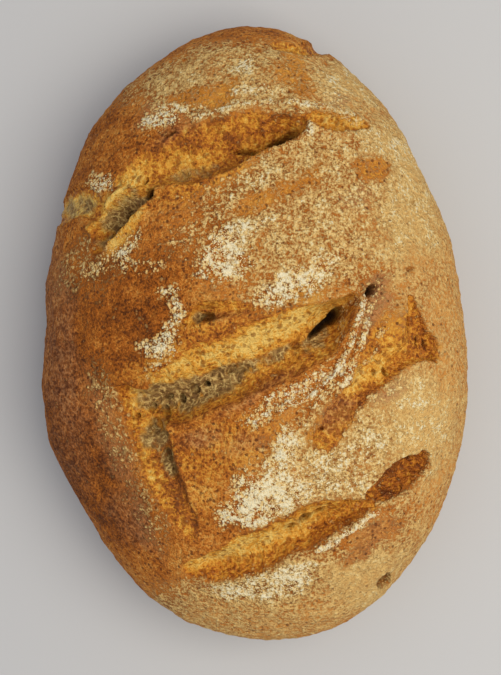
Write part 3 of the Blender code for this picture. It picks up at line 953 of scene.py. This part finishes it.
bake_here = maths(tree, "MULTIPLY_ADD", share_of["film"], 0.40, share_of["bake_and_shade"])
bake_here = maths(tree, "MULTIPLY_ADD", share_of["flour"], 0.25, bake_here)
bake_mix = sums(tree, bake_here, (field[BLOTCH], 0.8), (field[MOTTLE], 0.4), (field[CLUMP], 0.3),
                (field[GRAIN], 0.6), (field[GRIT], 0.9))
crust_tone = ramped(tree, bake_mix, CRUST_TONES)
gold_mix = sums(tree, share_of["gold"], (field[BLOTCH], -0.7), (field[MOTTLE], -0.8),
                (field[CLUMP], -0.9), (field[GRAIN], -0.9), (field[GRIT], -0.7))
skin_tone = ramped(tree, gold_mix, SKIN_TONES)
mauve_mix = sums(tree, 0.5, (field[MOTTLE], -0.8), (field[CLUMP], -1.0), (field[GRAIN], -1.6))
mauve_tone = ramped(tree, mauve_mix, MAUVE_TONES)
wander = add(tree, "ShaderNodeTexNoise", {"Vector": place, "Scale": 1 / (MOTTLE * MM)}).outputs["Color"]
wander_by = (WANDER * MM, WANDER * MM, WANDER * MM)
bent = add(tree, "ShaderNodeVectorMath", {0: wander, 1: wander_by, 2: place},
           operation="MULTIPLY_ADD").outputs[0]
to_wall = add(tree, "ShaderNodeTexVoronoi", {"Vector": bent, "Scale": 1 / (FIBRE * MM)},
              feature="DISTANCE_TO_EDGE").outputs["Distance"]
# Painted shade in the crumb: its colour darkens towards each bubble's middle and lightens at the bubble
# walls.
hollow = maths(tree, "MULTIPLY_ADD", to_wall, -1.6, 0.30)
hollow = maths(tree, "MULTIPLY_ADD", share_of["web"], 0.32, hollow)
crumb_mix = sums(tree, hollow, (field[MOTTLE], 1.0), (field[CLUMP], 0.6), (field[GRAIN], 0.9))
crumb_tone = ramped(tree, crumb_mix, CRUMB_TONES)
fibre = in_range(tree, to_wall, 0.10, 0.03)
frayed = in_range(tree, field[CLUMP], 0.42, 0.56)
fibre = maths(tree, "MULTIPLY", fibre, frayed)
fibre = maths(tree, "MULTIPLY", fibre, share_of["crumb"])

unevenness = sums(tree, 0.0, (field[BLOTCH], 1.4), (field[MOTTLE], 2.4), (field[CLUMP], 1.8),
                  (field[GRAIN], 1.2))
swing = maths(tree, "MULTIPLY_ADD", share_of["flour"], 0.95, 0.10)
thickness = maths(tree, "MULTIPLY_ADD", unevenness, swing, share_of["flour"])
dust = [grains(tree, size, thickness) for size in DUST]
caked = in_range(tree, thickness, 0.70, 1.35, interpolation_type="SMOOTHSTEP")
flour_on = maths(tree, "MAXIMUM", dust[0], dust[1])
flour_on = maths(tree, "MAXIMUM", flour_on, caked)
flour_tone = ramped(tree, sums(tree, thickness, (field[GRIT], 1.2), (field[GRAIN], 0.8)), FLOUR_TONES)
film_noise = sums(tree, 0.0, (field[BLOTCH], 0.5), (field[MOTTLE], 1.2), (field[CLUMP], 1.4),
                  (field[GRAIN], 2.4), (field[GRIT], 2.2))
film_swing = maths(tree, "MULTIPLY_ADD", share_of["film"], -1.6, 1.55)
film = maths(tree, "MULTIPLY_ADD", film_noise, film_swing, share_of["film"])
film = in_range(tree, film, 0.14, 0.90)
film_here = in_range(tree, share_of["film"], 0, 0.2)
film = maths(tree, "MULTIPLY", film, film_here)
smoothed = maths(tree, "ADD", share_of["torn"], share_of["film"])
bran_share = maths(tree, "MULTIPLY_ADD", smoothed, -0.16, 0.24)
bran = grains(tree, BRAN, bran_share)
bran = maths(tree, "MULTIPLY", bran, 0.75)
pinhole_share = maths(tree, "MULTIPLY", share_of["torn"], 0.34)
pinholes = grains(tree, PINHOLE, pinhole_share)
pinholes = maths(tree, "MULTIPLY", pinholes, 0.70)

tone = layer_over(tree, crust_tone, linear(FILM_TONE), film)
tone = layer_over(tree, tone, skin_tone, share_of["skin"])
tone = layer_over(tree, tone, mauve_tone, share_of["mauve"])
tone = layer_over(tree, tone, linear(BRAN_TONE), bran)
tone = layer_over(tree, tone, linear(PINHOLE_TONE), pinholes)
tone = layer_over(tree, tone, crumb_tone, share_of["crumb"])
tone = layer_over(tree, tone, linear(FIBRE_TONE), fibre)
# Painted shade inside the pores and cracks.
tone = layer_over(tree, tone, linear(PAINTED_PORE_SHADE_TONE), share_of["painted_pore_shade"])
tone = layer_over(tree, tone, linear(UNDERSIDE_TONE), share_of["underside"])
tone = layer_over(tree, tone, flour_tone, flour_on)
tree.links.new(tone, shader.inputs["Base Color"])

dull = add(tree, "ShaderNodeMapRange",
           {"Value": share_of["torn"], "To Min": 0.80, "To Max": 0.48}).outputs[0]
dull = maths(tree, "MAXIMUM", dull, flour_on)
tree.links.new(dull, shader.inputs["Roughness"])
shader.inputs["Specular IOR Level"].default_value = 0.18
grain_height = sums(tree, 0.0, (field[CLUMP], 1.0), (field[GRAIN], 1.2), (field[GRIT], 0.8))
grain_height = maths(tree, "MULTIPLY_ADD", flour_on, 0.25, grain_height)
bump = add(tree, "ShaderNodeBump", {"Height": grain_height, "Distance": 1.0 * MM, "Strength": 1.0})
tree.links.new(bump.outputs[0], shader.inputs["Normal"])

loaf.data.materials.clear()
loaf.data.materials.append(crust)
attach(loaf, "root")
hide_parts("loaf")


# Loose flour: the grains and little clumps that lie on the crust where flour is thickest. They
# are 0.25 to 0.6 mm across, and the crust holds each of them by half.
LOOSE_PER_SQUARE_METRE = 9.0e6
LOOSE_FROM = 0.42
LOOSE_SMALLEST = 0.13
LOOSE_LARGEST = 0.30
LOOSE_TURN = 6.3
LOOSE_SEED = 11
LOOSE_TONES = ((0.3, "#E2BE7C"), (0.6, "#EEE2BC"))

wheat_flour = bpy.data.materials.new("wheat_flour")
wheat_flour.use_nodes = True
flour_tree = wheat_flour.node_tree
flour_shader = flour_tree.nodes["Principled BSDF"]
flour_place = add(flour_tree, "ShaderNodeTexCoord").outputs["Object"]
flour_noise = add(flour_tree, "ShaderNodeTexNoise", {"Vector": flour_place, "Scale": 1 / (GRAIN * MM)})
flour_grain_tone = ramped(flour_tree, flour_noise.outputs[0], LOOSE_TONES)
flour_tree.links.new(flour_grain_tone, flour_shader.inputs["Base Color"])
flour_shader.inputs["Roughness"].default_value = 0.95
flour_shader.inputs["Specular IOR Level"].default_value = 0.1

scatter = bpy.data.node_groups.new("scattered flour", "GeometryNodeTree")
for name, kind in (("Crust", "NodeSocketGeometry"), ("Per square metre", "NodeSocketFloat"),
                   ("From share", "NodeSocketFloat"), ("Smallest", "NodeSocketFloat"),
                   ("Largest", "NodeSocketFloat"), ("Seed", "NodeSocketInt")):
    scatter.interface.new_socket(name, in_out="INPUT", socket_type=kind)
scatter.interface.new_socket("Grains", in_out="OUTPUT", socket_type="NodeSocketGeometry")
given = add(scatter, "NodeGroupInput").outputs
flour_here = add(scatter, "GeometryNodeInputNamedAttribute", {"Name": "flour"},
                 data_type="FLOAT").outputs[0]
above_start = maths(scatter, "SUBTRACT", flour_here, given["From share"], use_clamp=True)
squared = maths(scatter, "MULTIPLY", above_start, above_start)
density = maths(scatter, "MULTIPLY", squared, given["Per square metre"])
points = add(scatter, "GeometryNodeDistributePointsOnFaces",
             {"Mesh": given["Crust"], "Density": density, "Seed": given["Seed"]})
grain_size = add(scatter, "FunctionNodeRandomValue",
                 {2: given["Smallest"], 3: given["Largest"], "Seed": given["Seed"]}).outputs[1]
grain_turn = add(scatter, "FunctionNodeRandomValue",
                 {0: (0, 0, 0), 1: (LOOSE_TURN, LOOSE_TURN, LOOSE_TURN), "Seed": given["Seed"]},
                 data_type="FLOAT_VECTOR").outputs[0]
grain = add(scatter, "GeometryNodeMeshIcoSphere", {"Radius": 1.0, "Subdivisions": 1}).outputs["Mesh"]
placed = add(scatter, "GeometryNodeInstanceOnPoints",
             {"Points": points.outputs["Points"], "Instance": grain, "Rotation": grain_turn,
              "Scale": grain_size})
solid = add(scatter, "GeometryNodeRealizeInstances", {"Geometry": placed.outputs[0]}).outputs[0]
painted = add(scatter, "GeometryNodeSetMaterial",
              {"Geometry": solid, "Material": wheat_flour}).outputs[0]
add(scatter, "NodeGroupOutput", {"Grains": painted})

loose = bpy.data.objects.new("loose_flour", loaf.data.copy())
bpy.context.scene.collection.objects.link(loose)
scattering = loose.modifiers.new("scattered flour", "NODES")
scattering.node_group = scatter
socket_of = {
    item.name: item.identifier for item in scatter.interface.items_tree if item.in_out == "INPUT"
}
for name, value in (
    ("Per square metre", LOOSE_PER_SQUARE_METRE),
    ("From share", LOOSE_FROM),
    ("Smallest", LOOSE_SMALLEST * MM),
    ("Largest", LOOSE_LARGEST * MM),
    ("Seed", LOOSE_SEED),
):
    scattering[socket_of[name]] = value
seen = loose.evaluated_get(bpy.context.evaluated_depsgraph_get())
loose.data = bpy.data.meshes.new_from_object(seen)
loose.modifiers.clear()
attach(loose, "root")


# Floor: the pale matt table top that the loaf stands on, plain and far wider than the picture,
# so that no edge of it shows from the photo's side.
FLOOR_TONE = "#C3C3C2"
FLOOR_SIZE = 4.0

floor_mesh = bpy.data.meshes.new("floor")
plate = bmesh.new()
bmesh.ops.create_grid(plate, x_segments=1, y_segments=1, size=FLOOR_SIZE / 2)
plate.to_mesh(floor_mesh)
plate.free()
floor = bpy.data.objects.new("floor", floor_mesh)
bpy.context.scene.collection.objects.link(floor)
floor_paint = bpy.data.materials.new("matt_table_top")
floor_paint.use_nodes = True
floor_shader = floor_paint.node_tree.nodes["Principled BSDF"]
floor_shader.inputs["Base Color"].default_value = linear(FLOOR_TONE)
floor_shader.inputs["Roughness"].default_value = 0.8
floor_shader.inputs["Specular IOR Level"].default_value = 0.1
floor_mesh.materials.append(floor_paint)


# Light: one wide soft window high up to the right of the loaf, a little warm, and a pale cool
# room all round that fills the shadows.
WINDOW_AT = (0.32, -0.06, 0.78)
WINDOW_SIZE = 0.6
WINDOW_POWER = 4.5
WINDOW_TONE = "#FFF6E8"
ROOM_TONE = "#F1F4FC"
ROOM_LIGHT = 0.63

window_data = bpy.data.lights.new("window", "AREA")
window_data.shape = "SQUARE"
window_data.size = WINDOW_SIZE
window_data.energy = WINDOW_POWER
window_data.color = linear(WINDOW_TONE)[:3]
window = bpy.data.objects.new("window", window_data)
window.location = WINDOW_AT
window.rotation_euler = (-Vector(WINDOW_AT)).to_track_quat("-Z", "Y").to_euler()
bpy.context.scene.collection.objects.link(window)
world = bpy.data.worlds.new("room")
world.use_nodes = True
world.node_tree.nodes["Background"].inputs["Color"].default_value = linear(ROOM_TONE)
world.node_tree.nodes["Background"].inputs["Strength"].default_value = ROOM_LIGHT
bpy.context.scene.world = world
bpy.context.scene.view_settings.view_transform = "Standard"
